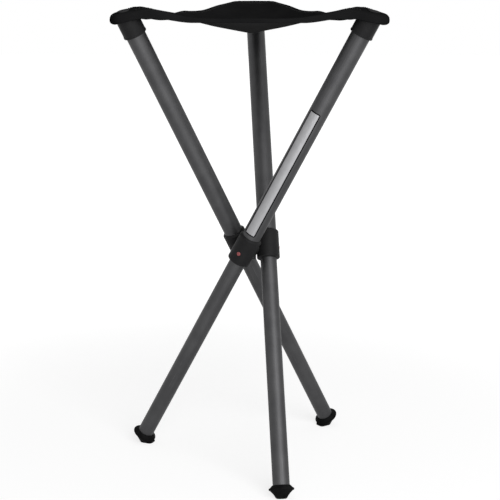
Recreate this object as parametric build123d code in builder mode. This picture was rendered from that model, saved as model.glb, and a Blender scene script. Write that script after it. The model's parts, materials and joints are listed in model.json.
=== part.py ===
"""Folding three-legged stool: telescopic tube legs crossing at a three-way hub, and a cloth sling seat.

Millimetres, +Z up. The origin is on the floor, under the middle of the hub. Each leg pivots on the hub
about a level radial axis; the stool stands opened, with its legs drawn out.
"""
import os
from math import atan, atan2, copysign, cos, degrees, radians, sin, sqrt, tan

from build123d import *

# Stance
hub_height = 291.7  # floor to the level of the three pivots
splay = 28.9  # lean of an opened leg from the vertical, degrees
head_reach = 350.0  # pivot to the middle of the cap's head, along the leg
rear_angle = 90.0  # the rear seat corner is on +Y, degrees
leg_angle = 120.0  # from each leg to the next, degrees
leg_turns = {"rear": 0, "left": leg_angle, "right": 2 * leg_angle}  # named by the seat corner carried

# Tubes
upper_od = 25.0
upper_wall = 1.2
lower_wall = 1.2
tube_room = 0.3  # lower tube to the bore of the upper one, radially
lower_overlap = 50.0  # lower tube drawn out, left inside the upper one
running = 0.05  # radial room of what turns or slides
fixed_fit = 0.05  # radial room of what is pushed in and stays

# Hub sleeves, one on the lower end of each upper tube
sleeve_wall = 2.9  # round the upper tube
sleeve_above = 24.2  # pivot to the sleeve's upper end
sleeve_below = 15.0  # pivot to the sleeve's lower end
sleeve_chamfer = 2.2
sleeve_round = 1.4
tube_seat = 8.0  # pivot to the ledge that the upper tube stands on
boss_d = 18.0  # round boss that turns against the hub core
boss_stand = 1.2  # boss face beyond the sleeve's outside

# Hub core and its rivets
core_flat = 6.8  # middle of the core to each of its flats
core_height = 26.0
core_round = 3.0
core_gap = 0.1  # boss face to core flat
rivet_d = 6.0
rivet_head_d = 10.0
rivet_head = 1.5
rivet_sunk = 0.4  # rivet head below the wall of the sleeve's bore
rivet_end = 2.8  # middle of the core to the rivet's inner end

# Release button, in the outer side of each sleeve
button_d = 5.2
button_proud = 0.2
button_dome = 0.6
button_flange_d = 6.8
button_flange = 0.6
recess_d = 8.0
recess_depth = 0.6
recess_wall = 0.9  # sleeve wall left under the recess, which keeps the button in

# Spring clip, inside the lower tube under the button
stud_d = 5.6
stud_gap = 0.1  # stud to button
stud_room = 0.3  # stud to the hole in the lower tube, radially
clip_width = 7.0
clip_thickness = 0.5
clip_above = 6.0  # stud axis to the upper ends of the clip
clip_below = 34.0  # stud axis to the clip's bend
clip_bend = 3.0
clip_room = 0.1  # clip to the wall of the lower tube

# Guide bush, in the upper end of the lower tube
bush_collar = 10.0
bush_spigot = 12.0
bush_bore = 12.0

# Leg cap, on the upper end of the upper tube
cap_wall = 2.05  # round the upper tube
cap_skirt = 22.3  # middle of the head to the skirt's lower rim
cap_bead = 0.4
cap_bead_height = 2.2
cap_round = 0.35
tube_in_cap = 18.0

# Seat corner: the head of the cap, and the cloth pocket sewn round it
corner_tilt = 14.0  # outward lean of the corner from level, degrees
corner_r = 19.5
corner_shift = 1.5
toe_r = 11.0
toe_shift = 13.0
corner_drop = 3.0  # middle of the head to the pocket's underside
corner_rise = 9.3  # middle of the head to the pocket's top
corner_top_round = 8.0
corner_bottom_round = 2.8
pocket_cloth = 2.4
pocket_room = 0.1  # head to pocket

# Seat plug, which pins each corner of the seat to its cap
plug_head_d = 15.0
plug_head = 1.5
plug_dome = 0.7
plug_stem_d = 6.0
plug_stem = 9.0  # under the head, through the cloth and into the cap
plug_shift = 3.0  # middle of the head outwards to the plug
plug_room = 0.3  # stem to the hole in the cloth, radially

# Seat sling
sling_cloth = 3.0
seat_sag = 32.4  # middle of the sling below its corners
edge_rise = 18.5  # middle of the sling below the middles of its edges
edge_hollow = 6.7  # how far the middle of each edge draws in
sling_meet = 11.4  # middle of the head up to the sling's underside, at the corner
sling_short = 9.0  # end of the sling before the middle of the head
sling_end_width = 32.0
sling_belly = 120.0  # radius of the round at the lowest point
hem_drop = 3.5
hem_lift = 6.0
hem_width = 3.5
soft_gap = 0.3  # sling to pocket

# Rubber foot
foot_height = 17.8  # foot rim to the floor, along the leg
foot_wall = 1.0  # round the lower tube, at the foot's rim
foot_flare = 4.5  # widest line beyond the foot's rim
foot_flange_drop = 4.8  # foot rim to the widest line
foot_round = 1.5  # radius along the widest line
foot_socket = 4.0
foot_spigot = 14.0
sole_shift = 11.0  # leg axis at the floor to the middle of the sole, inwards
sole_length = 18.5
sole_width = 15.5
sole_square = 4.0  # exponent of the sole's outline: 2 is an ellipse, more is squarer
sole_points = 16

# Worked-out widths, each from the piece inside it
lower_od = upper_od - 2 * (upper_wall + tube_room)
sleeve_od = upper_od + 2 * sleeve_wall
cap_od = upper_od + 2 * cap_wall
foot_shoulder_d = lower_od + 2 * foot_wall
foot_flange_d = foot_shoulder_d + 2 * foot_flare

# Worked-out places along a leg, from its pivot upwards
foot_rim = foot_height - hub_height / cos(radians(splay))
lower_bottom = foot_rim - foot_socket
lower_top = tube_seat + lower_overlap
cap_rim = head_reach - cap_skirt
upper_top = cap_rim + tube_in_cap

# Worked-out radii and places across a leg, from its axis outwards
upper_bore = upper_od / 2 - upper_wall
lower_bore = lower_od / 2 - lower_wall
guide_bore = lower_od / 2 + running
boss_face = sleeve_od / 2 + boss_stand
pivot_offset = core_flat + core_gap + boss_face  # middle of the hub to the axis of each leg
rivet_seat = guide_bore + rivet_sunk + rivet_head
button_stop = sleeve_od / 2 - recess_depth - recess_wall
button_inner = button_stop - running - button_flange
stud_tip = button_inner - stud_gap

# Worked-out places of the seat
corner_reach = head_reach * sin(radians(splay))
corner_radius = sqrt(corner_reach**2 + pivot_offset**2)
corner_height = hub_height + head_reach * cos(radians(splay))
hub_turn = degrees(atan2(pivot_offset, corner_reach))  # brings the rear corner onto +Y
seat_low = corner_height + sling_meet - seat_sag
sling_end = corner_radius - sling_short
edge_angle = radians(leg_angle / 2)  # from each corner to the middle of an edge
edge_middle = sling_end * cos(edge_angle) + sling_end_width / 2 * sin(edge_angle) - edge_hollow


def leg_axes(side):
    """Radial and tangential unit vectors of a leg, both level."""
    angle = radians(hub_turn + leg_turns[side])
    return Vector(cos(angle), sin(angle), 0), Vector(-sin(angle), cos(angle), 0)


def tilted(side, origin, lean):
    """Plane whose normal leans outwards from the vertical, with X along the leg's pivot axis."""
    radial, outward = leg_axes(side)
    normal = outward * sin(radians(lean)) + Vector(0, 0, cos(radians(lean)))
    return Plane(origin=origin, x_dir=radial, z_dir=normal)


def leg_plane(side):
    """Plane square to the leg at its pivot: X points out of the hub, Z up the leg."""
    radial, _ = leg_axes(side)
    return tilted(side, radial * pivot_offset + Vector(0, 0, hub_height), splay)


def across(leg, start):
    """Plane square to the leg's pivot axis, start out from the leg axis, facing out of the hub."""
    return Plane(origin=leg.from_local_coords(Vector(start, 0, 0)), x_dir=leg.y_dir, z_dir=leg.x_dir)


def side_view(leg):
    """Plane through the leg axis: X out of the hub, Y up the leg."""
    return Plane(origin=leg.origin, x_dir=leg.x_dir, z_dir=-leg.y_dir)


def corner_plane(side):
    leg = leg_plane(side)
    return tilted(side, leg.from_local_coords(Vector(0, 0, head_reach)), corner_tilt)


def plug_plane(side):
    """Top of the seat's corner, at the middle of its plug."""
    corner = corner_plane(side)
    return corner.offset(corner_rise).shift_origin(
        corner.from_local_coords(Vector(0, plug_shift, corner_rise))
    )


def sole_plane(side):
    """Floor plane at the middle of the sole: X along the leg's pivot axis, Y towards the hub."""
    radial, outward = leg_axes(side)
    touch = radial * pivot_offset - outward * (hub_height * tan(radians(splay)))
    return tilted(side, touch + outward * sole_shift, 0)


def make_upper_tube(side):
    leg = leg_plane(side)
    with BuildPart() as upper_tube:
        with BuildSketch(leg.offset(tube_seat)):
            Circle(upper_od / 2)
            Circle(upper_bore, mode=Mode.SUBTRACT)
        extrude(amount=upper_top - tube_seat)
    return upper_tube.part


def make_lower_tube(side):
    leg = leg_plane(side)
    with BuildPart() as lower_tube:
        with BuildSketch(leg.offset(lower_bottom)):
            Circle(lower_od / 2)
            Circle(lower_bore, mode=Mode.SUBTRACT)
        extrude(amount=lower_top - lower_bottom)
        with BuildSketch(across(leg, 0)):
            Circle(stud_d / 2 + stud_room)
        extrude(amount=lower_od, mode=Mode.SUBTRACT)
    return lower_tube.part


def make_guide_bush(side):
    """Plug in the lower tube whose collar runs in the upper tube."""
    leg = leg_plane(side)
    with BuildPart() as guide_bush:
        with BuildSketch(leg.offset(lower_top)):
            Circle(upper_bore - running)
        extrude(amount=bush_collar)
        with BuildSketch(leg.offset(lower_top)):
            Circle(lower_bore - fixed_fit)
        extrude(amount=-bush_spigot)
        with BuildSketch(leg.offset(lower_top - bush_spigot)):
            Circle(bush_bore / 2)
        extrude(amount=bush_spigot + bush_collar, mode=Mode.SUBTRACT)
    return guide_bush.part


def make_hub_sleeve(side):
    """Sleeve that holds the upper tube, guides the lower one and turns on the hub."""
    leg = leg_plane(side)
    with BuildPart() as hub_sleeve:
        with BuildSketch(leg.offset(-sleeve_below)):
            Circle(sleeve_od / 2)
        extrude(amount=sleeve_below + sleeve_above)
        ends = hub_sleeve.edges().filter_by(GeomType.CIRCLE).sort_by(Axis(leg.origin, leg.z_dir))
        chamfer(ends[-1], length=sleeve_chamfer)
        fillet(ends[0], radius=sleeve_round)
        with BuildSketch(across(leg, -boss_face)):
            Circle(boss_d / 2)
        extrude(amount=boss_face - guide_bore)
        with BuildSketch(leg.offset(-sleeve_below)):
            Circle(guide_bore)
        extrude(amount=sleeve_below + sleeve_above, mode=Mode.SUBTRACT)
        with BuildSketch(leg.offset(tube_seat)):
            Circle(upper_od / 2 + fixed_fit)
        extrude(amount=sleeve_above - tube_seat, mode=Mode.SUBTRACT)
        with BuildSketch(across(leg, -boss_face)):
            Circle(rivet_d / 2 + running)
        extrude(amount=boss_face, mode=Mode.SUBTRACT)
        with BuildSketch(across(leg, -rivet_seat - running)):
            Circle(rivet_head_d / 2 + running)
        extrude(amount=rivet_seat, mode=Mode.SUBTRACT)
        with BuildSketch(across(leg, 0)):
            Circle(button_flange_d / 2 + running)
        extrude(amount=button_stop, mode=Mode.SUBTRACT)
        with BuildSketch(across(leg, 0)):
            Circle(button_d / 2 + running)
        extrude(amount=sleeve_od, mode=Mode.SUBTRACT)
        with BuildSketch(across(leg, sleeve_od / 2 - recess_depth)):
            Circle(recess_d / 2)
        extrude(amount=sleeve_od, mode=Mode.SUBTRACT)
    return hub_sleeve.part


def make_pivot_rivet(side):
    """Headed rivet: its head turns in the sleeve and its end is set in the hub core."""
    leg = leg_plane(side)
    with BuildPart() as pivot_rivet:
        with BuildSketch(across(leg, -rivet_seat)):
            Circle(rivet_head_d / 2)
        extrude(amount=rivet_head)
        with BuildSketch(across(leg, rivet_end - pivot_offset)):
            Circle(rivet_d / 2)
        extrude(amount=pivot_offset - rivet_end - rivet_seat)
    return pivot_rivet.part


def make_release_button(side):
    """Domed button whose flange keeps it in the sleeve."""
    leg = leg_plane(side)
    top = sleeve_od / 2 + button_proud
    with BuildPart() as release_button:
        with BuildSketch(across(leg, button_inner)):
            Circle(button_flange_d / 2)
        extrude(amount=button_flange)
        with BuildSketch(across(leg, button_inner)):
            Circle(button_d / 2)
        extrude(amount=top - button_inner)
        crown = release_button.edges().filter_by(GeomType.CIRCLE).sort_by(Axis(leg.origin, leg.x_dir))[-1]
        fillet(crown, radius=button_dome)
    return release_button.part


def make_spring_clip(side):
    """Bent leaf spring that carries the locking stud under the button."""
    leg = leg_plane(side)
    wall = sqrt((lower_bore - clip_room) ** 2 - (clip_width / 2) ** 2) - clip_thickness / 2
    with BuildPart() as spring_clip:
        with BuildSketch(side_view(leg)):
            with BuildLine():
                FilletPolyline(
                    (-wall, clip_above),
                    (-wall, -clip_above),
                    (0, -clip_below),
                    (wall, -clip_above),
                    (wall, clip_above),
                    radius=clip_bend,
                )
            trace(line_width=clip_thickness)
        extrude(amount=clip_width / 2, both=True)
        with BuildSketch(across(leg, wall)):
            Circle(stud_d / 2)
        extrude(amount=stud_tip - wall)
    return spring_clip.part


def corner_form(side, inset):
    """Rounded corner of the seat, drawn in all round by inset."""
    with BuildPart() as corner:
        with BuildSketch(corner_plane(side).offset(inset - corner_drop)):
            with Locations((0, corner_shift)):
                Circle(corner_r - inset)
            with Locations((0, toe_shift)):
                Circle(toe_r - inset)
            make_hull()
        extrude(amount=corner_rise + corner_drop - 2 * inset)
        rims = corner.faces().sort_by(Axis(corner_plane(side).origin, corner_plane(side).z_dir))
        top_edges = rims[-1].edges()
        bottom_edges = rims[0].edges()
        fillet(top_edges, radius=corner_top_round - inset)
        if corner_bottom_round > inset:
            fillet(bottom_edges, radius=corner_bottom_round - inset)
    return corner.part


def skirt_form(side, grow):
    """Round skirt from the cap's rim up to the middle of the head, grown all round."""
    with BuildPart() as skirt:
        with BuildSketch(leg_plane(side).offset(cap_rim)):
            Circle(cap_od / 2 + grow)
        extrude(amount=cap_skirt + cap_od)
        split(bisect_by=corner_plane(side), keep=Keep.BOTTOM)
    return skirt.part


def make_leg_cap(side):
    """Cap with a skirt over the tube and a head inside the seat's pocket."""
    leg = leg_plane(side)
    with BuildPart() as leg_cap:
        add(skirt_form(side, 0))
        with BuildSketch(leg.offset(cap_rim)):
            Circle(cap_od / 2 + cap_bead)
        extrude(amount=cap_bead_height)
        beads = leg_cap.edges().filter_by(GeomType.CIRCLE).group_by(SortBy.RADIUS)[-1]
        fillet(beads, radius=cap_round)
        add(corner_form(side, pocket_cloth + pocket_room))
        with BuildSketch(leg.offset(cap_rim)):
            Circle(upper_od / 2 + fixed_fit)
        extrude(amount=tube_in_cap, mode=Mode.SUBTRACT)
        with BuildSketch(plug_plane(side)):
            Circle(plug_stem_d / 2)
        extrude(amount=-plug_stem, mode=Mode.SUBTRACT)
    return leg_cap.part


def make_corner_pocket(side):
    """Cloth pocket round the head of the cap, open below for the skirt."""
    with BuildPart() as corner_pocket:
        add(corner_form(side, 0))
        add(corner_form(side, pocket_cloth), mode=Mode.SUBTRACT)
        add(skirt_form(side, pocket_room), mode=Mode.SUBTRACT)
        with BuildSketch(plug_plane(side)):
            Circle(plug_stem_d / 2 + plug_room)
        extrude(amount=-plug_stem, mode=Mode.SUBTRACT)
    return corner_pocket.part


def make_seat_plug(side):
    """Low domed plug through the cloth, its stem set in the head of the cap."""
    seat = plug_plane(side)
    with BuildPart() as seat_plug:
        with BuildSketch(seat):
            Circle(plug_head_d / 2)
        extrude(amount=plug_head)
        crown = seat_plug.edges().filter_by(GeomType.CIRCLE).sort_by(Axis(seat.origin, seat.z_dir))[-1]
        fillet(crown, radius=plug_dome)
        with BuildSketch(seat):
            Circle(plug_stem_d / 2)
        extrude(amount=-plug_stem)
    return seat_plug.part


def sole_outline():
    """Points round a squared ellipse, from its end on +X."""
    outline = []
    for step in range(sole_points):
        turn = radians(360 * step / sole_points)
        wide = copysign(abs(cos(turn)) ** (2 / sole_square), cos(turn))
        long = copysign(abs(sin(turn)) ** (2 / sole_square), sin(turn))
        outline.append((wide * sole_width / 2, long * sole_length / 2))
    return outline


def make_foot(side):
    """Rubber foot: a spigot in the tube, a shoulder with a round edge and a body tapering to a level sole."""
    leg = leg_plane(side)
    level = foot_rim - foot_flange_drop
    edge = foot_flange_d / 2 - foot_round
    with BuildPart() as foot:
        with BuildSketch(side_view(leg)):
            with BuildLine():
                above = (edge, level + foot_round)
                below = (edge, level - foot_round)
                Polyline(below, (0, level - foot_round), (0, foot_rim), (foot_shoulder_d / 2, foot_rim), above)
                ThreePointArc(above, (foot_flange_d / 2, level), below)
            make_face()
        revolve(axis=Axis(leg.origin, leg.z_dir))
        with BuildSketch(leg.offset(level - foot_round)):
            Circle(edge)
        with BuildSketch(sole_plane(side)):
            with BuildLine():
                Spline(sole_outline(), periodic=True)
            make_face()
        loft(ruled=True)
        with BuildSketch(leg.offset(lower_bottom)):
            Circle(lower_od / 2 + fixed_fit)
        extrude(amount=foot_socket, mode=Mode.SUBTRACT)
        with BuildSketch(leg.offset(lower_bottom)):
            Circle(lower_bore - fixed_fit)
        extrude(amount=foot_socket + foot_spigot)
    return foot.part


def make_hub_core():
    """Three-sided core with a flat and a blind rivet hole for each leg."""
    with BuildPart() as hub_core:
        with BuildSketch(Plane.XY.offset(hub_height - core_height / 2)):
            RegularPolygon(core_flat, 3, major_radius=False, rotation=hub_turn + 180)
        extrude(amount=core_height)
        fillet(hub_core.edges().filter_by(Axis.Z), radius=core_round)
        for side in leg_turns:
            with BuildSketch(across(leg_plane(side), rivet_end - pivot_offset)):
                Circle(rivet_d / 2)
            extrude(amount=core_flat, mode=Mode.SUBTRACT)
    return hub_core.part


def polar(radius, angle, lateral=0.0):
    """Point at a radius and an angle, moved sideways."""
    turn = radians(angle)
    return (radius * cos(turn) - lateral * sin(turn), radius * sin(turn) + lateral * cos(turn))


def sling_outline():
    """Triangle with hollow sides and blunt corners, the rear corner on +Y."""
    half = sling_end_width / 2
    with BuildSketch() as outline:
        with BuildLine():
            for turn in leg_turns.values():
                corner = rear_angle + turn
                start = polar(sling_end, corner, half)
                finish = polar(sling_end, corner + leg_angle, -half)
                Line(polar(sling_end, corner, -half), start)
                ThreePointArc(start, polar(edge_middle, corner + leg_angle / 2), finish)
        make_face()
    return outline.sketch


def dish(drop, lift):
    """Shallow bowl of the cloth with a round middle, drop deeper and, at the edges, lift higher."""
    slope = atan(edge_rise / edge_middle)
    touch = sling_belly * sin(slope)
    with BuildPart() as bowl:
        with BuildSketch(Plane.XZ):
            with BuildLine():
                ends = []
                for base, raised in ((seat_low - drop, 0), (seat_low + sling_cloth, lift)):
                    level = base + raised
                    middle = level + sling_belly / cos(slope)
                    bottom = (0, middle - sling_belly)
                    half = (sling_belly * sin(slope / 2), middle - sling_belly * cos(slope / 2))
                    side = (touch, level + tan(slope) * touch)
                    edge = (edge_middle, level + edge_rise)
                    rim = (corner_radius, base + seat_sag)
                    ThreePointArc(bottom, half, side)
                    Polyline(side, edge, rim)
                    ends.append((bottom, rim))
                Line(ends[0][0], ends[1][0])
                Line(ends[0][1], ends[1][1])
            make_face()
        revolve(axis=Axis.Z)
    return bowl.part


def make_seat_sling():
    """Hollow cloth sheet with a turned-down hem, ending at the corner pockets."""
    outline = sling_outline()
    height = corner_height + corner_rise + seat_sag
    with BuildPart() as hem:
        add(dish(hem_drop, hem_lift))
        with BuildSketch():
            add(outline)
            offset(outline, -hem_width, mode=Mode.SUBTRACT)
        extrude(amount=height, mode=Mode.INTERSECT)
    with BuildPart() as seat_sling:
        add(dish(0, 0))
        with BuildSketch():
            add(outline)
        extrude(amount=height, mode=Mode.INTERSECT)
        add(hem.part)
        for side in leg_turns:
            add(corner_form(side, -soft_gap), mode=Mode.SUBTRACT)
    return seat_sling.part


leg_pieces = {
    "upper_tube": make_upper_tube,
    "lower_tube": make_lower_tube,
    "guide_bush": make_guide_bush,
    "hub_sleeve": make_hub_sleeve,
    "pivot_rivet": make_pivot_rivet,
    "release_button": make_release_button,
    "spring_clip": make_spring_clip,
    "leg_cap": make_leg_cap,
    "corner_pocket": make_corner_pocket,
    "seat_plug": make_seat_plug,
    "foot": make_foot,
}

os.makedirs("parts", exist_ok=True)
pieces = {"hub_core": make_hub_core(), "seat_sling": make_seat_sling()}
for leg_side in leg_turns:
    for piece_name, make_piece in leg_pieces.items():
        pieces[f"{leg_side}_{piece_name}"] = make_piece(leg_side)
for node, piece in pieces.items():
    piece.label = node
    export_step(piece, f"parts/{node}.step")
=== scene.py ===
import json
import math

import bmesh
import bpy
from mathutils import Matrix, Vector
from mathutils.geometry import interpolate_bezier
from mathutils.kdtree import KDTree


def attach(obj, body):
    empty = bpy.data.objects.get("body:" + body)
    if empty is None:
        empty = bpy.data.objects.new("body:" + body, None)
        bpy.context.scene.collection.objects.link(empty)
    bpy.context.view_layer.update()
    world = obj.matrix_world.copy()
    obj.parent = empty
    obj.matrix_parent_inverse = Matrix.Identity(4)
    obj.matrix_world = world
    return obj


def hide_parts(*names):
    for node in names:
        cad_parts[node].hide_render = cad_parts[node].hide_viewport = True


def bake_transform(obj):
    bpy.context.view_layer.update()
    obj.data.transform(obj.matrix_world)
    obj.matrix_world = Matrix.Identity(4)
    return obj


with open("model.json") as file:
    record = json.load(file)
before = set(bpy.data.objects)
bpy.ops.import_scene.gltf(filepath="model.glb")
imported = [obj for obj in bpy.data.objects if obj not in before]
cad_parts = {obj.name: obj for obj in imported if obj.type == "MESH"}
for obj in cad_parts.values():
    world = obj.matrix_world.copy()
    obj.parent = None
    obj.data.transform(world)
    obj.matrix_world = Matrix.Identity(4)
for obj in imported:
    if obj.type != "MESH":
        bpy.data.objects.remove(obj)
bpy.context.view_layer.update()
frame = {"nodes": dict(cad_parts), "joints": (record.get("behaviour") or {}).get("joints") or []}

# Tube legs: drawn aluminium tube, anodised to a satin dark grey. The upper tubes are clean; the lower ones
# slide in them and carry fine rub marks along their length.
sides = ("rear", "left", "right")
joints = {joint["name"]: joint for joint in frame["joints"]}


def leg_matrix(side):
    """The leg's own frame at its pivot: X out of the hub, Z up the leg."""
    radial = Vector(joints[f"{side}_fold"]["axis"]).normalized()
    up = Vector(joints[f"{side}_slide"]["axis"]).normalized()
    turn = Matrix((radial, up.cross(radial), up)).transposed()
    return Matrix.Translation(Vector(joints[f"{side}_fold"]["pos_m"])) @ turn.to_4x4()


class Tone:
    """One socket among a finish's nodes; arithmetic on it adds Math nodes."""

    def __init__(self, tree, socket=None):
        self.tree = tree
        self.socket = socket

    def node(self, kind, settings, inputs, output=0):
        """Adds a node, sets it up, fills its sockets and gives one of its outputs."""
        made = self.tree.nodes.new(kind)
        for name, setting in settings.items():
            setattr(made, name, setting)
        for name, value in inputs.items():
            if isinstance(value, Tone):
                self.tree.links.new(value.socket, made.inputs[name])
            else:
                made.inputs[name].default_value = value
        return Tone(self.tree, made.outputs[output])

    def calc(self, operation, *values):
        return self.node("ShaderNodeMath", {"operation": operation}, dict(enumerate(values)))

    def __add__(self, other):
        return self.calc("ADD", self, other)

    def __radd__(self, other):
        return self.calc("ADD", other, self)

    def __sub__(self, other):
        return self.calc("SUBTRACT", self, other)

    def __rsub__(self, other):
        return self.calc("SUBTRACT", other, self)

    def __mul__(self, other):
        return self.calc("MULTIPLY", self, other)

    def __rmul__(self, other):
        return self.calc("MULTIPLY", other, self)

    def between(self, low, high):
        """0 below low, 1 above high and smooth from one to the other."""
        return self.node(
            "ShaderNodeMapRange",
            {"interpolation_type": "SMOOTHSTEP"},
            {"Value": self, "From Min": low, "From Max": high},
        )

    def stretched(self, factors):
        return self.node("ShaderNodeVectorMath", {"operation": "MULTIPLY"}, {0: self, 1: factors})

    def noise(self, scale, detail=2.0):
        return self.node("ShaderNodeTexNoise", {}, {"Vector": self, "Scale": scale, "Detail": detail})

    def mixed(self, first, second):
        """Colour that goes from first to second as this socket goes from 0 to 1."""
        return self.node("ShaderNodeMix", {"data_type": "RGBA"}, {0: self, 6: first, 7: second}, 2)


def new_finish(name, **fixed):
    """A material with one Principled shader, and the start of its nodes."""
    material = bpy.data.materials.new(name)
    material.use_nodes = True
    shader = material.node_tree.nodes["Principled BSDF"]
    for socket, value in fixed.items():
        shader.inputs[socket.replace("_", " ")].default_value = value
    return material, Tone(material.node_tree)


def apply_finish(material, colour, roughness, height, strength, depth):
    """Links what varies over the surface to the shader; the bump's depth is in metres."""
    tree = material.node_tree
    shader = tree.nodes["Principled BSDF"]
    bump = colour.node("ShaderNodeBump", {}, {"Strength": strength, "Distance": depth, "Height": height})
    tree.links.new(colour.socket, shader.inputs["Base Color"])
    tree.links.new(roughness.socket, shader.inputs["Roughness"])
    tree.links.new(bump.socket, shader.inputs["Normal"])


def own_place(start):
    """Coordinates that are fixed to the piece."""
    return start.node("ShaderNodeTexCoord", {}, {}, "Object")


def place_along(start, leg):
    """The piece's coordinates in the leg's own frame, Z up the leg."""
    return start.node(
        "ShaderNodeMapping",
        {"vector_type": "TEXTURE"},
        {"Vector": own_place(start), "Location": leg.translation, "Rotation": leg.to_euler()},
    )


def dress(node, material):
    mesh = frame["nodes"][node].data
    mesh.materials.clear()
    mesh.materials.append(material)


tube_grey = (0.060, 0.060, 0.062, 1)
tube_pale = (0.072, 0.072, 0.074, 1)
rub_grey = (0.110, 0.110, 0.113, 1)
clean_rub = 0.15
sliding_rub = 0.8


def tube_finish(name, side, rub):
    """Satin grey with a drawn grain along the leg; rub is the share of pale marks."""
    material, start = new_finish(name, Metallic=1.0)
    along = place_along(start, leg_matrix(side))
    grain = along.stretched((1, 1, 0.012)).noise(2600.0, 3.0)
    cloud = along.noise(45.0, 3.0)
    marks = along.stretched((1, 1, 0.02)).noise(900.0, 2.0).between(0.62, 0.72)
    worn = along.stretched((1, 1, 0.35)).noise(60.0, 2.0).between(0.5, 0.7)
    rubbed = marks * worn * rub
    colour = rubbed.mixed(cloud.between(0.3, 0.7).mixed(tube_grey, tube_pale), rub_grey)
    roughness = 0.45 + grain * 0.10 + cloud * 0.06 - rubbed * 0.08
    apply_finish(material, colour, roughness, grain + rubbed * 0.5, strength=0.12, depth=0.00005)
    return material


for side in sides:
    dress(f"{side}_upper_tube", tube_finish(f"{side}_upper_anodised", side, clean_rub))
    dress(f"{side}_lower_tube", tube_finish(f"{side}_lower_anodised", side, sliding_rub))

# Hub: black moulded plastic sleeves that turn on a three-sided core, each with a red button in its outer
# side, and a steel rivet and spring inside. The moulds are spark-eroded, so the plastic has a fine matt
# grain; its edges are a little polished, and a highlight is painted along them in a paler colour.
plastic_black = (0.0090, 0.0090, 0.0095, 1)
plastic_pale = (0.0125, 0.0125, 0.0130, 1)
plastic_edge_highlight = (0.030, 0.030, 0.031, 1)


def edge_mask(start, radius):
    """1 along the sharp edges of a piece and 0 on its faces."""
    soft = start.node("ShaderNodeBevel", {"samples": 6}, {"Radius": radius})
    true = start.node("ShaderNodeNewGeometry", {}, {}, "Normal")
    alike = start.node("ShaderNodeVectorMath", {"operation": "DOT_PRODUCT"}, {0: soft, 1: true}, "Value")
    return (1 - alike).between(0.02, 0.22)


def plastic_finish(name, grain_scale, edge_radius, dark=plastic_black, pale=plastic_pale, gloss=0.12):
    material, start = new_finish(name, Specular_IOR_Level=gloss)
    place = own_place(start)
    grain = place.noise(grain_scale, 2.0)
    cloud = place.noise(70.0, 3.0)
    # Painted highlight: the sharp edges, broken up by noise, are painted paler; they are also a little less
    # rough.
    edge = edge_mask(start, edge_radius) * place.noise(300.0, 2.0).between(0.35, 0.65)
    colour = edge.mixed(cloud.between(0.3, 0.75).mixed(dark, pale), plastic_edge_highlight)
    roughness = 0.50 + grain * 0.14 - edge * 0.12
    apply_finish(material, colour, roughness, grain, strength=0.35, depth=0.00012)
    return material


sleeve_plastic = plastic_finish("sleeve_plastic", grain_scale=1800.0, edge_radius=0.0009)
dress("hub_core", sleeve_plastic)
for side in sides:
    dress(f"{side}_hub_sleeve", sleeve_plastic)
    dress(f"{side}_guide_bush", sleeve_plastic)

button_red = (0.29, 0.062, 0.064, 1)
button_deep = (0.20, 0.034, 0.038, 1)
button_finish, start = new_finish("button_red", Specular_IOR_Level=0.5)
speckle = own_place(start).noise(1500.0, 2.0)
# Painted shade: the button's rim is painted a darker red, for the dark ring round its edge.
button_rim_shade = edge_mask(start, 0.0006)
bright_red = speckle.between(0.25, 0.75) * (1 - button_rim_shade * 0.5)
button_colour = bright_red.mixed(button_deep, button_red)
apply_finish(button_finish, button_colour, 0.32 + speckle * 0.12, speckle, strength=0.15, depth=0.00006)

steel_bright = (0.50, 0.50, 0.49, 1)
steel_dull = (0.34, 0.34, 0.345, 1)
steel_finish, start = new_finish("zinc_steel", Metallic=1.0)
spangle = own_place(start).noise(700.0, 3.0)
steel_colour = spangle.mixed(steel_dull, steel_bright)
apply_finish(steel_finish, steel_colour, 0.28 + spangle * 0.2, spangle, strength=0.1, depth=0.00005)

for side in sides:
    dress(f"{side}_release_button", button_finish)
    dress(f"{side}_pivot_rivet", steel_finish)
    dress(f"{side}_spring_clip", steel_finish)

# Leg caps and seat plugs: the sleeves' black plastic with a coarser grain. The caps are pressed on the upper
# tubes and fill the seat's pockets; the paler, quite matt plugs go through the cloth into the caps' heads.
plug_dark = (0.042, 0.042, 0.043, 1)
plug_pale = (0.056, 0.056, 0.057, 1)
cap_grain = 1300.0
cap_plastic = plastic_finish("cap_plastic", cap_grain, edge_radius=0.0010)
plug_plastic = plastic_finish("plug_plastic", cap_grain, 0.0006, plug_dark, plug_pale, gloss=0.0)
for side in sides:
    dress(f"{side}_leg_cap", cap_plastic)
    dress(f"{side}_seat_plug", plug_plastic)

# Feet: black rubber, moulded with a fine pebbled grain and pushed on the ends of the lower tubes. They are
# matt, and a little dusty towards the sole.
rubber_black = (0.0063, 0.0063, 0.0065, 1)
rubber_worn = (0.0095, 0.0095, 0.0098, 1)
rubber_dust = (0.0150, 0.0147, 0.0140, 1)
dust_height = 0.006
rubber_finish, start = new_finish("foot_rubber", Specular_IOR_Level=0.02)
place = own_place(start)
pebble = place.noise(1100.0, 3.0)
cloud = place.noise(120.0, 3.0)
height = start.node("ShaderNodeSeparateXYZ", {}, {"Vector": place}, "Z")
dusty = (1 - height.between(0.0, dust_height)) * cloud.between(0.4, 0.7)
rubber_colour = dusty.mixed(cloud.between(0.35, 0.7).mixed(rubber_black, rubber_worn), rubber_dust)
apply_finish(rubber_finish, rubber_colour, 0.62 + pebble * 0.2, pebble, strength=0.4, depth=0.00015)
for side in sides:
    dress(f"{side}_foot", rubber_finish)
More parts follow.
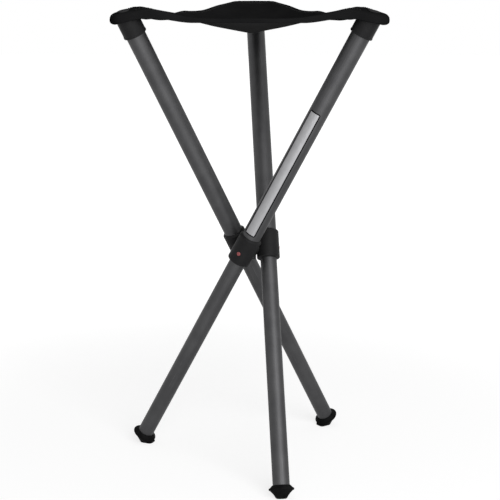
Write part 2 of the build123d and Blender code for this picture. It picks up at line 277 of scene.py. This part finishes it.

# Seat: one triangle of black plain-weave cloth, its edges folded over into hems, its corners sewn into
# pockets over the heads of the caps.
leg_reach = 0.350  # pivot up the leg to the middle of the cap's head
head = leg_matrix("rear") @ Vector((0, 0, leg_reach))
head_reach = math.hypot(head.x, head.y)  # axis of the stool to the middle of a cap's head
head_height = head.z
cloth_thickness = 0.0018
edge_middle = 0.0885  # middle of the seat to the middle of an edge
pocket_side = Vector((0.1680, 0.0208))  # outline at the widest part of a pocket
pocket_tip = Vector((0.1934, 0.0))
pocket_run = math.radians(-15)  # direction of the outline where it meets the pocket
edge_pull = (0.040, 0.030)  # how far the outline keeps its direction, from an edge and into a pocket
pocket_pull = (0.0160, 0.0128)  # the same, from the pocket's side and into its tip
hem_round = 0.0024
pocket_round = 0.0062
tip_round = 0.0078
side_range = (0.70, 0.88)  # shares of the outline over which the rounding grows to a pocket's
tip_range = (0.88, 0.99)  # and to its tip's
seat_middle = head_height - 0.0201
seat_slope = 0.195
seat_belly = 0.003
seat_rise = 0.0030  # towards the edges, above the even slope
rise_reach = (0.040, 0.100)
pocket_tilt = math.radians(14)
pocket_rise = 0.0093
plug_spot = Vector((head_reach + 0.0052, 0.0))
pocket_crown = 4.0  # fall of the pocket's top to its sides, by the square of the distance
tip_stretch = {"rear": 0.0, "left": -0.0008, "right": 0.0020}  # the pockets aren't drawn alike
stretch_reach = (0.174, 0.192)
plug_dip = 0.0028  # roll of cloth round the plug, above the plug's seat
plug_reach = (0.0078, 0.0125)
flat_roll = 0.75  # share of the roll that the front pockets lack
edge_lift = 0.0073  # taut edge above the slack of the seat, at its middle
edge_slack = 0.030  # width over which the cloth falls from its edge
taut_from = 0.05  # the edge is tautest up to here, out to a corner
taut_reach = 0.11
corner_lift = 0.0026
lift_reach = (0.055, 0.100)
slack_hand = {"rear": 0, "left": 1, "right": -1}  # side of each third on which the front edge hangs
slack_reach = 0.050
front_hang = (0.0046, 0.0052, 0.0098)  # at the middle of the front edge, added beside it, lost at its ends
front_reach = ((0.0, 0.062), (0.064, 0.152))
far_hang = 0.0072  # on the far sides of the front corners
far_reach = ((0.020, 0.056), (0.066, 0.152))
ridge = 0.0022  # softness of the fold between the seat and a pocket's top
pull_middle = 0.172  # the creases spread from here
pull_depth = 0.00045
pull_count = 9
pull_near = (0.012, 0.03)  # distances in from there over which the creases begin and end
pull_far = (0.05, 0.11)
pull_edge = (0.004, 0.014)  # distances from the outline over which they begin
tuck_hem = 0.0008
tuck_pocket = 0.0014
tuck_tip = 0.0046
tuck_side_range = (0.72, 0.86)  # shares of the outline, as for the rounding
tuck_tip_range = (0.88, 0.98)
most_tuck = 0.95  # of the cloth's side
hem_hang = 0.0054  # middle of the head down to the hem's lower boundary
lip_hang = 0.0018  # and to the pocket's
lip_reach = (0.156, 0.168)  # distances out over which one passes to the other
hem_draw = 0.0056  # the hem is drawn up towards a pocket
hem_draw_reach = (0.104, 0.150)
hem_dip = 0.0014  # and dips before it
hem_dip_reach = (0.142, 0.158)
grid_count = 60
round_rows = 5
band_rows = 4
tuck_rows = 4


def smooth(low, high, value):
    share = min(1.0, max(0.0, (value - low) / (high - low)))
    return share * share * (3 - 2 * share)


edge_run = Vector((math.cos(math.radians(30)), -math.sin(math.radians(30))))
edge_start = Vector((edge_middle * math.cos(math.radians(60)), edge_middle * math.sin(math.radians(60))))
pocket_way = Vector((math.cos(pocket_run), math.sin(pocket_run)))
outline_steps = 240
long_side = interpolate_bezier(
    edge_start,
    edge_start + edge_run * edge_pull[0],
    pocket_side - pocket_way * edge_pull[1],
    pocket_side,
    outline_steps,
)
round_end = interpolate_bezier(
    pocket_side,
    pocket_side + pocket_way * pocket_pull[0],
    pocket_tip + Vector((0, pocket_pull[1])),
    pocket_tip,
    outline_steps,
)
outline = [Vector(point[:2]) for point in long_side[:-1] + round_end]
distances = [0.0]
for last, point in zip(outline, outline[1:]):
    distances.append(distances[-1] + (point - last).length)
outline_length = distances[-1]
outline_tree = KDTree(2 * len(outline))
for index, point in enumerate(outline):
    outline_tree.insert((point.x, point.y, 0), 2 * index)
    outline_tree.insert((point.x, -point.y, 0), 2 * index + 1)
outline_tree.balance()


def outline_at(share):
    """Point and outward direction of the outline, at a share of its way from an edge's middle to the tip."""
    wanted = share * outline_length
    index = next(i for i in range(len(distances) - 1) if distances[i + 1] >= wanted - 1e-9)
    part = (wanted - distances[index]) / (distances[index + 1] - distances[index])
    point = outline[index].lerp(outline[index + 1], part)
    run = (outline[index + 1] - outline[index]).normalized()
    if share >= 1:
        run = Vector((0, -1))
    if share <= 0:
        run = edge_run
    return point, Vector((-run.y, run.x))


def rounding(share):
    side_round = hem_round + (pocket_round - hem_round) * smooth(*side_range, share)
    return side_round + (tip_round - pocket_round) * smooth(*tip_range, share)


def tuck(share):
    """Radius by which the cloth's lower boundary turns under."""
    side_tuck = tuck_hem + (tuck_pocket - tuck_hem) * smooth(*tuck_side_range, share)
    return side_tuck + (tuck_tip - tuck_pocket) * smooth(*tuck_tip_range, share)


def inset_at(share):
    point, outward = outline_at(share)
    return point - outward * rounding(share), outward


def edge_distance(out, across):
    return outline_tree.find((out, across, 0))[2]


def pocket_top(out):
    """Flat top of the pocket, which leans outwards."""
    flat = head_height + pocket_rise / math.cos(pocket_tilt)
    return flat - math.tan(pocket_tilt) * (out - head_reach)


def front_drop(out, across, hand):
    """How far the front edge, which is slacker than the others, hangs below them."""
    run = out * edge_run.x + across * hand * edge_run.y
    gap = max(0.0, edge_middle + out * edge_run.y - across * hand * edge_run.x)
    least, more, less = front_hang
    drop = least + more * smooth(*front_reach[0], abs(run)) - less * smooth(*front_reach[1], abs(run))
    far_run = out * edge_run.x - across * hand * edge_run.y
    far_gap = max(0.0, edge_middle + out * edge_run.y + across * hand * edge_run.x)
    far_drop = far_hang * smooth(*far_reach[0], far_run) - far_hang * smooth(*far_reach[1], far_run)
    front = drop * max(0.0, 1 - gap / slack_reach) ** 2
    return abs(hand) * max(front, far_drop * max(0.0, 1 - far_gap / slack_reach) ** 2)


def seat_top(out, across, hand):
    """Height of the cloth's upper face, out to a corner and across it; hand is the third's slack side."""
    radius = math.hypot(out, across)
    bowl = seat_middle + seat_slope * (math.hypot(radius, seat_belly) - seat_belly)
    bowl += seat_rise * smooth(*rise_reach, radius) + corner_lift * smooth(*lift_reach, out)
    distance = edge_distance(out, across)
    slack = max(0.0, 1 - distance / edge_slack)
    taut = min(1.0, max(0.0, 1 - (max(out, taut_from) - taut_from) ** 2 / taut_reach**2))
    bowl += edge_lift * taut * slack * slack - front_drop(out, across, hand)
    roll = plug_dip * (1 - flat_roll * abs(hand))
    lid = pocket_top(out) + roll * smooth(*plug_reach, (Vector((out, across)) - plug_spot).length)
    lid -= pocket_crown * across * across
    gap = max(ridge - abs(bowl - lid), 0.0) / ridge
    height = min(bowl, lid) - gap * gap * ridge / 4
    inwards = pull_middle - out
    pull = smooth(*pull_near, inwards) * (1 - smooth(*pull_far, inwards)) * smooth(*pull_edge, distance)
    return height + pull_depth * pull * math.cos(pull_count * math.atan2(across, inwards))


def band_foot(out):
    """Lower boundary of the hem and of the pocket's side."""
    drawn_up = hem_draw * smooth(*hem_draw_reach, out) - hem_dip * smooth(*hem_dip_reach, out)
    hem_foot = head_height - hem_hang + drawn_up
    lip = head_height - lip_hang - math.tan(pocket_tilt) * (out - head_reach)
    return hem_foot + (lip - hem_foot) * smooth(*lip_reach, out)


def corner_matrix(side):
    """Turns seat coordinates, out to the corner and across it, to the stool's frame."""
    corner = leg_matrix(side) @ Vector((0, 0, leg_reach))
    return Matrix.Rotation(math.atan2(corner.y, corner.x), 4, "Z")


def make_cloth(side):
    """A third of the seat: a grid drawn to the outline, its edge extruded round and down into the hem."""
    form = bmesh.new()
    bmesh.ops.create_grid(form, x_segments=grid_count, y_segments=grid_count, size=0.5)
    flat = {}
    edge_place = {}
    slack = slack_hand[side]
    tip, _ = inset_at(1)
    middle, _ = inset_at(0)
    shares = [index / grid_count for index in range(grid_count + 1)]
    rim = [inset_at(share)[0] for share in shares]
    for vertex in form.verts:
        right = vertex.co.x + 0.5
        left = vertex.co.y + 0.5
        column = round(right * grid_count)
        row = round(left * grid_count)
        mirrored = Vector((middle.x, -middle.y))
        spot = (1 - left) * right * mirrored + left * rim[column]
        spot += (1 - right) * left * middle + right * Vector((rim[row].x, -rim[row].y))
        spot -= right * (1 - left) * mirrored + (1 - right) * left * middle + right * left * tip
        vertex.co = (spot.x, spot.y, seat_top(spot.x, spot.y, slack))
        flat[vertex] = spot
        if column == grid_count:
            edge_place[vertex] = (shares[row], -1)
        elif row == grid_count:
            edge_place[vertex] = (shares[column], 1)
    ring = [edge for edge in form.edges if all(vertex in edge_place for vertex in edge.verts)]
    ring = [edge for edge in ring if edge.is_boundary]
    for step in range(1, round_rows + band_rows + tuck_rows + 1):
        made = bmesh.ops.extrude_edge_only(form, edges=ring)["geom"]
        new_vertices = [item for item in made if isinstance(item, bmesh.types.BMVert)]
        old = dict(edge_place)
        edge_place = {}
        for vertex in new_vertices:
            base = next(e.other_vert(vertex) for e in vertex.link_edges if e.other_vert(vertex) in old)
            share, hand = old[base]
            start_point, outward = inset_at(share)
            size = rounding(share)
            top = seat_top(start_point.x, start_point.y * hand, slack)
            turn = math.radians(90) * min(1, step / round_rows)
            spot = start_point + outward * size * math.sin(turn)
            foot = band_foot(spot.x)
            under = min(tuck(share), most_tuck * (top - size - foot))
            straight = top - size - foot - under
            down = min(1, max(0, step - round_rows) / band_rows)
            curl = math.radians(90) * max(0, step - round_rows - band_rows) / tuck_rows
            spot = spot - outward * under * (1 - math.cos(curl))
            height = top - size * (1 - math.cos(turn)) - straight * down - under * math.sin(curl)
            unrolled = start_point + outward * (size * turn + straight * down + under * curl)
            vertex.co = (spot.x, spot.y * hand, height)
            flat[vertex] = Vector((unrolled.x, unrolled.y * hand))
            edge_place[vertex] = (share, hand)
        ring = [item for item in made if isinstance(item, bmesh.types.BMEdge)]
        ring = [edge for edge in ring if all(vertex in edge_place for vertex in edge.verts)]
    for vertex in form.verts:
        vertex.co.x += tip_stretch[side] * smooth(*stretch_reach, vertex.co.x)
    bmesh.ops.recalc_face_normals(form, faces=form.faces)
    if sum(face.normal.z for face in form.faces) < 0:
        bmesh.ops.reverse_faces(form, faces=form.faces)
    for edge in form.edges:
        edge.smooth = not (edge.is_boundary and edge not in ring)
    threads = form.loops.layers.uv.new("threads")
    turned = corner_matrix(side)
    for face in form.faces:
        face.smooth = True
        for loop in face.loops:
            spot = flat[loop.vert]
            lie = turned @ Vector((spot.x, spot.y, 0))
            loop[threads].uv = (lie.x, lie.y)
    area = sum(face.calc_area() for face in form.faces)
    bmesh.ops.transform(form, matrix=turned, verts=form.verts)
    return form, area


def new_piece(name, form, *materials):
    mesh = bpy.data.meshes.new(name)
    form.to_mesh(mesh)
    form.free()
    piece = bpy.data.objects.new(name, mesh)
    bpy.context.scene.collection.objects.link(piece)
    for material in materials:
        mesh.materials.append(material)
    return piece


cloth_black = (0.0066, 0.0066, 0.0069, 1)
cloth_pale = (0.0155, 0.0155, 0.0161, 1)
cloth_faded = (0.0185, 0.0185, 0.0190, 1)
# The underside's colours are several times paler than the top's: painted light, standing in for light
# bounced up from the floor.
underside_painted_bounce_dark = (0.032, 0.032, 0.0325, 1)
underside_painted_bounce_pale = (0.048, 0.048, 0.0485, 1)
thread_pitch = 0.00085


def cloth_finish(name, dark, pale, faded):
    """Plain weave on the cloth's own threads: each warp thread goes over and under the weft by turns."""
    material, start = new_finish(name, Specular_IOR_Level=0.0)
    lie = start.node("ShaderNodeUVMap", {"uv_map": "threads"}, {})
    warp_way = start.node("ShaderNodeSeparateXYZ", {}, {"Vector": lie}, "X")
    weft_way = start.node("ShaderNodeSeparateXYZ", {}, {"Vector": lie}, "Y")
    slub = lie.noise(900.0, 2.0)
    warp = start.calc("SINE", warp_way * (math.pi / thread_pitch) + slub * 0.4)
    weft = start.calc("SINE", weft_way * (math.pi / thread_pitch) + slub * 0.4)
    over = 0.5 + warp * weft * 0.5
    groove = start.calc("ABSOLUTE", warp) * 0.5 + start.calc("ABSOLUTE", weft) * 0.5
    weave = over * 0.55 + groove * 0.45
    cloud = lie.noise(28.0, 4.0).between(0.3, 0.75)
    tone = weave * 0.7 + slub * 0.3
    colour = (cloud * 0.45).mixed(tone.mixed(dark, pale), faded)
    roughness = 0.78 - weave * 0.12 + slub * 0.1
    apply_finish(material, colour, roughness, weave + slub * 0.3, strength=0.5, depth=0.00022)
    return material


seat_cloth = cloth_finish("seat_cloth", cloth_black, cloth_pale, cloth_faded)
# The cloth's underside: the same weave, painted paler for light bounced up from below.
seat_underside_painted_bounce = cloth_finish("seat_underside_painted_bounce", underside_painted_bounce_dark, underside_painted_bounce_pale, underside_painted_bounce_pale)


def bend_with_leg(piece):
    """Bakes the piece's placement into its mesh."""
    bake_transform(piece)


cut_sizes = {}
for side in sides:
    form, cut_sizes[side] = make_cloth(side)
    cloth = new_piece(f"{side}_seat_cloth", form, seat_cloth, seat_underside_painted_bounce)
    wall = cloth.modifiers.new("thickness", "SOLIDIFY")
    wall.thickness = cloth_thickness
    wall.offset = -1
    wall.material_offset = 1
    bend_with_leg(cloth)
    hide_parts(f"{side}_corner_pocket")
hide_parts("seat_sling")

# Stitching: black polyester thread, sewn by machine through the cloth. One row runs along each hem and a
# double row across each pocket's mouth.
stitch_length = 0.0026
stitch_pitch = 0.0035
stitch_width = 0.0007
stitch_stand = 0.12  # share of its width by which a stitch's middle is above the cloth
hem_share = 0.80  # of the outline that has a hem
hem_row = 0.0055  # outline to the row of stitches
pocket_rows = (0.1385, 0.1425)
thread_black = (0.008, 0.008, 0.0085, 1)
thread_pale = (0.020, 0.020, 0.021, 1)
thread_finish, start = new_finish("sewing_thread", Specular_IOR_Level=0.2)
twist = own_place(start).noise(2600.0, 2.0)
thread_colour = twist.mixed(thread_black, thread_pale)
apply_finish(thread_finish, thread_colour, 0.5 + twist * 0.15, twist, strength=0.4, depth=0.0001)


def add_stitch(form, spot, run, slack):
    """One stitch lying on the cloth, along run, both in seat coordinates."""
    height = seat_top(spot.x, spot.y, slack)
    ahead = spot + run * stitch_length
    way = Vector((run.x, run.y, (seat_top(ahead.x, ahead.y, slack) - height) / stitch_length)).normalized()
    side_way = Vector((-way.y, way.x, 0)).normalized()
    turn = Matrix((way, side_way, way.cross(side_way))).transposed().to_4x4()
    size = Matrix.Diagonal((stitch_length / 2, stitch_width / 2, stitch_width / 2, 1))
    seat = Matrix.Translation((spot.x, spot.y, height + stitch_width * stitch_stand))
    bmesh.ops.create_uvsphere(form, u_segments=6, v_segments=4, radius=1, matrix=seat @ turn @ size)


for side in sides:
    form = bmesh.new()
    hem_end = hem_share * outline_length
    for index in range(int(hem_end / stitch_pitch)):
        point, outward = outline_at((index + 0.5) * stitch_pitch / outline_length)
        spot = point - outward * hem_row
        run = Vector((outward.y, -outward.x))
        for hand in (1, -1):
            mirror = Vector((1, hand))
            add_stitch(form, spot * mirror, run * mirror, slack_hand[side])
    for row in pocket_rows:
        half = next(p.y for p in outline if p.x > row) - hem_row
        count = int(2 * half / stitch_pitch)
        for index in range(count):
            across = (index + 0.5 - count / 2) * stitch_pitch
            add_stitch(form, Vector((row, across)), Vector((0, 1)), slack_hand[side])
    for face in form.faces:
        face.smooth = True
    bmesh.ops.transform(form, matrix=corner_matrix(side), verts=form.verts)
    stitches = new_piece(f"{side}_seat_stitches", form, thread_finish)
    bend_with_leg(stitches)

# Pocket floors: a thin second layer of the cloth under each cap's head, with a round hole for the cap's
# skirt. It is sewn in with the pocket's side and keeps the cap from slipping out.
floor_thickness = 0.0004
skirt_radius = 0.01475
floor_count = 64
floor_inset = 0.0040  # outline to the edge of the floor
floor_mouth = 0.147
head_under = 0.0005  # middle of the head down to its underside
floor_room = 0.00006  # underside to floor
floor_step = 0.0001  # step of the search for the floor's edge
most_steps = 400
leg_lean = math.acos(leg_matrix("rear")[2][2])  # from the vertical
skirt_stretch = math.cos(pocket_tilt) / math.cos(leg_lean - pocket_tilt)  # the skirt is cut on a slant
for side in sides:
    form = bmesh.new()
    made = bmesh.ops.create_circle(form, segments=floor_count, radius=skirt_radius, cap_ends=False)
    hole = {vertex: math.atan2(vertex.co.y, vertex.co.x) for vertex in made["verts"]}
    level = head_height - head_under - floor_room
    for vertex, angle in hole.items():
        out = head_reach + skirt_radius * math.cos(angle) * skirt_stretch
        height = level - math.tan(pocket_tilt) * (out - head_reach)
        vertex.co = (out, skirt_radius * math.sin(angle), height)
    made = bmesh.ops.extrude_edge_only(form, edges=form.edges[:])["geom"]
    for vertex in (item for item in made if isinstance(item, bmesh.types.BMVert)):
        base = next(e.other_vert(vertex) for e in vertex.link_edges if e.other_vert(vertex) in hole)
        angle = hole[base]
        way = Vector((math.cos(angle), math.sin(angle)))
        reach = skirt_radius
        for _ in range(most_steps):
            spot = Vector((head_reach, 0)) + way * (reach + floor_step)
            if spot.x < floor_mouth or edge_distance(spot.x, spot.y) < floor_inset:
                break
            reach += floor_step
        spot = Vector((head_reach, 0)) + way * reach
        height = level - math.tan(pocket_tilt) * (spot.x - head_reach)
        vertex.co = (spot.x, spot.y, height)
    bmesh.ops.subdivide_edges(
        form, edges=[e for e in form.edges if not e.is_boundary], cuts=3, use_grid_fill=True
    )
    bmesh.ops.recalc_face_normals(form, faces=form.faces)
    if sum(face.normal.z for face in form.faces) > 0:
        bmesh.ops.reverse_faces(form, faces=form.faces)
    floor_area = sum(face.calc_area() for face in form.faces)
    threads = form.loops.layers.uv.new("threads")
    turned = corner_matrix(side)
    bmesh.ops.transform(form, matrix=turned, verts=form.verts)
    for face in form.faces:
        face.smooth = True
        for loop in face.loops:
            loop[threads].uv = loop.vert.co.xy
    pocket_floor = new_piece(f"{side}_pocket_floor", form, seat_cloth)
    wall = pocket_floor.modifiers.new("thickness", "SOLIDIFY")
    wall.thickness = floor_thickness
    wall.offset = 1
    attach(pocket_floor, f"{side}_leg")

# Plate: a bare foil, silver with a thin black border, stuck round the front of the right upper tube. It is
# brushed along its length, and its corners are cut.
tube_radius = 0.0125
plate_foot = 0.0295  # pivot up to the plate's lower end
plate_head = 0.2175
plate_turn = math.radians(-2)  # middle of the plate, round the leg from its pivot axis
plate_width = 0.0162
plate_thickness = 0.00018
glue = 0.00002
border_width = 0.0016
corner_cut = 0.0008
foil_silver = (0.40, 0.40, 0.41, 1)
foil_grey = (0.33, 0.33, 0.34, 1)
border_black = (0.004, 0.004, 0.0045, 1)
border_worn = (0.007, 0.007, 0.0075, 1)
right_leg = leg_matrix("right")


def foil_finish(name, dark, pale, metal, gloss):
    material, start = new_finish(name, Metallic=metal, Specular_IOR_Level=gloss)
    along = place_along(start, right_leg)
    brushed = along.stretched((1, 1, 0.03)).noise(1800.0, 3.0)
    cloud = along.noise(90.0, 3.0)
    colour = (brushed * 0.5 + cloud * 0.5).between(0.25, 0.75).mixed(dark, pale)
    apply_finish(material, colour, 0.36 + brushed * 0.18, brushed, strength=0.1, depth=0.00004)
    return material


def border_place(share, length, count):
    """Grid line of the plate; the lines next to its sides are a border's width in."""
    index = round((share + 0.5) * count)
    if index in (0, count):
        return share * length
    return (index - count / 2) / (count / 2 - 1) * (length / 2 - border_width)


form = bmesh.new()
plate_columns = 24
plate_lines = 60
bmesh.ops.create_grid(form, x_segments=plate_columns, y_segments=plate_lines, size=0.5)
for face in form.faces:
    face.material_index = 1 if any(vertex.is_boundary for vertex in face.verts) else 0
for vertex in form.verts:
    cut = corner_cut if len(vertex.link_edges) == 2 else 0
    wide = border_place(vertex.co.x, plate_width, plate_columns)
    tall = border_place(vertex.co.y, plate_head - plate_foot, plate_lines)
    vertex.co = (wide - math.copysign(cut, wide), tall - math.copysign(cut, tall), 0)
skin = bmesh.ops.extrude_face_region(form, geom=form.faces[:])["geom"]
for vertex in (item for item in skin if isinstance(item, bmesh.types.BMVert)):
    vertex.co.z = plate_thickness
bmesh.ops.recalc_face_normals(form, faces=form.faces)
for vertex in form.verts:
    angle = plate_turn + vertex.co.x / tube_radius
    radius = tube_radius + glue + vertex.co.z
    along = (plate_foot + plate_head) / 2 + vertex.co.y
    vertex.co = (radius * math.cos(angle), radius * math.sin(angle), along)
bmesh.ops.transform(form, matrix=right_leg, verts=form.verts)
for face in form.faces:
    face.smooth = False
foil = foil_finish("plate_foil", foil_grey, foil_silver, metal=0.4, gloss=0.3)
border = foil_finish("plate_border", border_black, border_worn, metal=0.0, gloss=0.03)
plate = new_piece("leg_plate", form, foil, border)
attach(plate, "right_leg")

# Studio: a pale floor and a white surround, one broad lamp above and to the right of the camera, a weak one
# overhead, and a low one before the stool, which stands for the bright floor there.
floor_size = 8.0
floor_drop = 0.0003  # keeps the floor clear of the soles
floor_pale = (0.35, 0.35, 0.35, 1)
floor_form = bmesh.new()
bmesh.ops.create_grid(floor_form, x_segments=1, y_segments=1, size=floor_size)
bmesh.ops.translate(floor_form, verts=floor_form.verts, vec=(0, 0, -floor_drop))
floor_white = bpy.data.materials.new("floor_white")
floor_white.use_nodes = True
floor_tree = floor_white.node_tree
floor_shader = floor_tree.nodes["Principled BSDF"]
floor_shader.inputs["Base Color"].default_value = floor_pale
floor_shader.inputs["Roughness"].default_value = 0.9
floor_shader.inputs["Specular IOR Level"].default_value = 0.0
floor_shader.inputs["Emission Color"].default_value = (1, 1, 1, 1)


def seen_directly(tree):
    """1 for rays from the camera, and for those seen in gloss or through glass."""
    path = Tone(tree).node("ShaderNodeLightPath", {}, {}, "Is Camera Ray")
    rays = path.socket.node.outputs
    either = path.calc("MAXIMUM", path, Tone(tree, rays["Is Glossy Ray"]))
    return either.calc("MAXIMUM", either, Tone(tree, rays["Is Transmission Ray"]))


floor_place = own_place(Tone(floor_tree))
floor_reach = floor_place.node("ShaderNodeVectorMath", {"operation": "LENGTH"}, {0: floor_place}, "Value")
near_glow = 0.775
far_glow = 0.3  # more, away from the stool
floor_glow = seen_directly(floor_tree) * (near_glow + floor_reach.between(0.3, 1.4) * far_glow)
floor_tree.links.new(floor_glow.socket, floor_shader.inputs["Emission Strength"])
floor = new_piece("studio_floor", floor_form, floor_white)

world = bpy.data.worlds.new("studio")
bpy.context.scene.world = world
world.use_nodes = True
surround = world.node_tree.nodes["Background"]
surround.inputs["Color"].default_value = (1, 1, 1, 1)
surround_light = 0.18
surround_strength = surround_light + (1 - surround_light) * seen_directly(world.node_tree)
world.node_tree.links.new(surround_strength.socket, surround.inputs["Strength"])


def add_lamp(name, place, aim, size, power):
    lamp = bpy.data.lights.new(name, "AREA")
    lamp.size = size
    lamp.energy = power
    lamp_object = bpy.data.objects.new(name, lamp)
    lamp_object.location = place
    lamp_object.rotation_euler = (Vector(aim) - Vector(place)).to_track_quat("-Z", "Y").to_euler()
    bpy.context.scene.collection.objects.link(lamp_object)


add_lamp("front_lamp", (1.35, -2.6, 1.95), aim=(0, 0, 0.35), size=2.4, power=77.0)
add_lamp("top_lamp", (0.0, 0.3, 3.0), aim=(0, 0, 0.3), size=1.8, power=9.0)
add_lamp("low_lamp", (0.12, -0.80, 0.03), aim=(0, 0, 0.50), size=0.8, power=5.0)

camera_data = bpy.data.cameras.new("camera")
camera_data.sensor_width = 36.0
camera_data.lens = 88.3
camera = bpy.data.objects.new("camera", camera_data)
camera.location = (0.0553, -1.6041, 0.6569)
camera.rotation_euler = (math.radians(77.09), 0, math.radians(2.0))
bpy.context.scene.collection.objects.link(camera)
bpy.context.scene.camera = camera
bpy.context.scene.view_settings.view_transform = "Standard"
